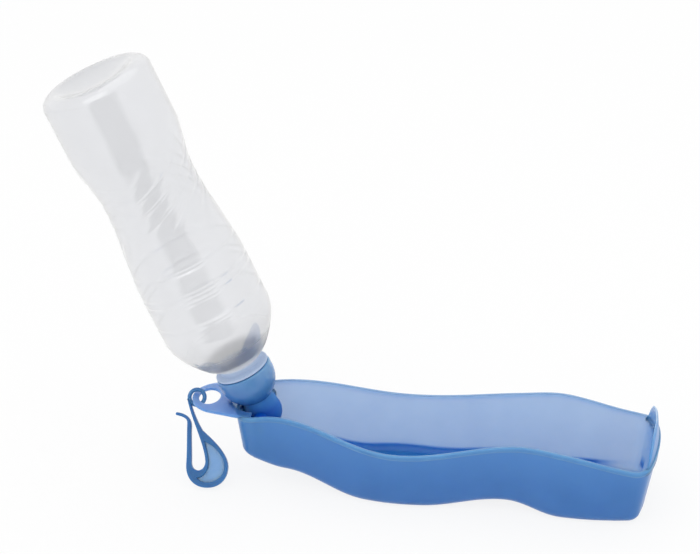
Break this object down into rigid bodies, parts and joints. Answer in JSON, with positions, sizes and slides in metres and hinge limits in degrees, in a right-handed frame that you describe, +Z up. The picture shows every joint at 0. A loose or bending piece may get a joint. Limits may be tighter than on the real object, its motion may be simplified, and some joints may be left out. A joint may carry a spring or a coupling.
{
  "type": "dog travel water bottle",
  "caption": "Squeeze bottle on a ball-valve hinge that folds into a wavy drinking trough, with a belt hook hung from the trough's tongue.",
  "frame": {"origin": "on the ground under the middle of the trough's first resting land, in the trough's plane of symmetry", "axes": "+X along the trough from the hinge towards the arched tab, +Z up, +Y to the far side, so -Y faces the viewer"},
  "size_m": [0.3557, 0.0716, 0.2602],
  "materials": {
    "trough_plastic": "translucent",
    "valve_rubber": "satin",
    "clear_plastic": "clear",
    "washer_rubber": "satin",
    "cap_plastic": "translucent",
    "spout_plastic": "gloss",
    "seal_rubber": "satin",
    "hook_plastic": "translucent"
  },
  "bodies": {
    "trough": {"trough": "trough_plastic", "valve_seat": "valve_rubber"},
    "cap": {"screw_cap": "cap_plastic", "spout": "spout_plastic", "neck_washer": "washer_rubber", "spout_o_ring": "seal_rubber"},
    "bottle": {"bottle": "clear_plastic"},
    "hook": {"belt_hook": "hook_plastic"}
  },
  "joints": [
    {"name": "fold", "type": "hinge", "parent": "trough", "child": "cap", "pos_m": [-0.0784, 0, 0.0404], "axis": [0, 1, 0], "range_deg": [0, 105.5]},
    {"name": "bottle_unscrew", "type": "hinge", "parent": "cap", "child": "bottle", "pos_m": [-0.08735, 0, 0.0605], "axis": [-0.4067, 0, 0.9135], "range_deg": [0, 650]},
    {"name": "hook_swing", "type": "hinge", "parent": "trough", "child": "hook", "pos_m": [-0.1191, 0, 0.0459], "axis": [0, 1, 0], "range_deg": [-15, 85]}
  ]
}
